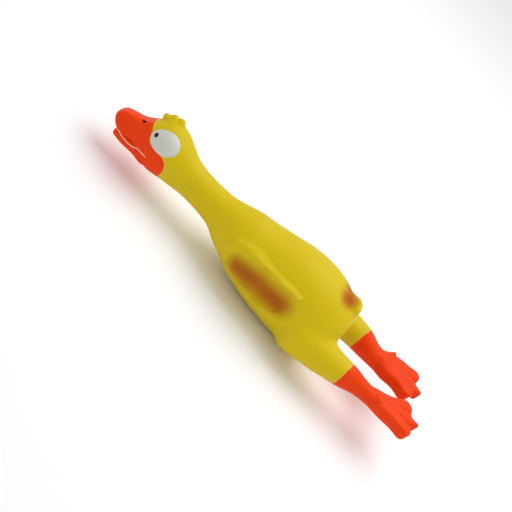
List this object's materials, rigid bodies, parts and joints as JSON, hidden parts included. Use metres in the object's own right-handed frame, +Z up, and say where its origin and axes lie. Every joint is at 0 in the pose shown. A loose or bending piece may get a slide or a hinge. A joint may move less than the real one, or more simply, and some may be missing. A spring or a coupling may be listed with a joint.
{
  "type": "squeaky rubber chicken",
  "caption": "Long-necked hollow latex squeaky bird with flat bill, bulging eyes, trailing legs and webbed feet, lying on its belly.",
  "frame": {"origin": "centre of the whole bird's plan outline, in the plane of the belly's flat that it rests on", "axes": "+Z up, -Y along the neck to the bill, +Y to the toes, +X to the bird's left"},
  "size_m": [0.0888, 0.3302, 0.0721],
  "materials": {
    "latex_yellow": "satin",
    "latex_orange": "satin",
    "latex_white": "satin",
    "latex_black": "satin",
    "squeaker_plastic": "matte",
    "reed_brass": "satin"
  },
  "bodies": {
    "torso": {"torso_shell": "latex_yellow", "tail": "latex_yellow", "squeaker_barrel": "squeaker_plastic", "reed_seat": "squeaker_plastic", "reed_clamp": "squeaker_plastic"},
    "reed": {"squeaker_reed": "reed_brass"},
    "neck_lower": {"neck_lower": "latex_yellow"},
    "neck_upper": {"neck_upper": "latex_yellow"},
    "head": {"head_shell": "latex_yellow", "crest": "latex_yellow", "bill_upper": "latex_orange", "bill_lower": "latex_orange", "eye_left": "latex_white", "eye_right": "latex_white", "pupil_left": "latex_black", "pupil_right": "latex_black"},
    "flank_left": {"flank_left": "latex_yellow", "wing_left": "latex_yellow"},
    "thigh_left": {"thigh_left": "latex_yellow"},
    "shank_left": {"shank_left": "latex_orange"},
    "foot_left": {"foot_left": "latex_orange"},
    "flank_right": {"flank_right": "latex_yellow", "wing_right": "latex_yellow"},
    "thigh_right": {"thigh_right": "latex_yellow"},
    "shank_right": {"shank_right": "latex_orange"},
    "foot_right": {"foot_right": "latex_orange"}
  },
  "joints": [
    {"name": "neck_base", "type": "hinge", "parent": "torso", "child": "neck_lower", "pos_m": [0, -0.052, 0.0339], "axis": [-1, 0, 0], "range_deg": [-8, 25], "stiffness_Nm_per_rad": 1.6},
    {"name": "neck_sway", "type": "hinge", "parent": "neck_lower", "child": "neck_upper", "pos_m": [0, -0.074, 0.0341], "axis": [0, 0, 1], "range_deg": [-30, 30], "stiffness_Nm_per_rad": 1.2},
    {"name": "head_nod", "type": "hinge", "parent": "neck_upper", "child": "head", "pos_m": [0, -0.097, 0.0339], "axis": [1, 0, 0], "range_deg": [-25, 14], "stiffness_Nm_per_rad": 1},
    {"name": "reed_flex", "type": "hinge", "parent": "torso", "child": "reed", "pos_m": [0, 0.0342, 0.01315], "axis": [1, 0, 0], "range_deg": [0, 4], "stiffness_Nm_per_rad": 0.002},
    {"name": "squeeze_left", "type": "slide", "parent": "torso", "child": "flank_left", "axis": [-1, 0, 0], "range_m": [0, 0.01], "stiffness_N_per_m": 1200},
    {"name": "hip_left", "type": "hinge", "parent": "torso", "child": "thigh_left", "pos_m": [0.0275, 0.083, 0.031], "axis": [1, 0, 0], "range_deg": [-13, 25], "stiffness_Nm_per_rad": 1.2},
    {"name": "knee_left", "type": "hinge", "parent": "thigh_left", "child": "shank_left", "pos_m": [0.0261, 0.097, 0.0326], "axis": [0, 0, -1], "range_deg": [-3, 20], "stiffness_Nm_per_rad": 0.8},
    {"name": "ankle_left", "type": "hinge", "parent": "shank_left", "child": "foot_left", "pos_m": [0.0227, 0.131, 0.0352], "axis": [-1, 0, 0], "range_deg": [-30, 30], "stiffness_Nm_per_rad": 0.4},
    {"name": "squeeze_right", "type": "slide", "parent": "torso", "child": "flank_right", "axis": [1, 0, 0], "range_m": [0, 0.01], "stiffness_N_per_m": 1200},
    {"name": "hip_right", "type": "hinge", "parent": "torso", "child": "thigh_right", "pos_m": [-0.0275, 0.083, 0.031], "axis": [1, 0, 0], "range_deg": [-13, 25], "stiffness_Nm_per_rad": 1.2},
    {"name": "knee_right", "type": "hinge", "parent": "thigh_right", "child": "shank_right", "pos_m": [-0.0261, 0.097, 0.0326], "axis": [0, 0, 1], "range_deg": [-3, 20], "stiffness_Nm_per_rad": 0.8},
    {"name": "ankle_right", "type": "hinge", "parent": "shank_right", "child": "foot_right", "pos_m": [-0.0227, 0.131, 0.0352], "axis": [-1, 0, 0], "range_deg": [-30, 30], "stiffness_Nm_per_rad": 0.4}
  ],
  "couplings": [
    {"joint": "squeeze_right", "follows": "squeeze_left", "ratio": 1}
  ]
}
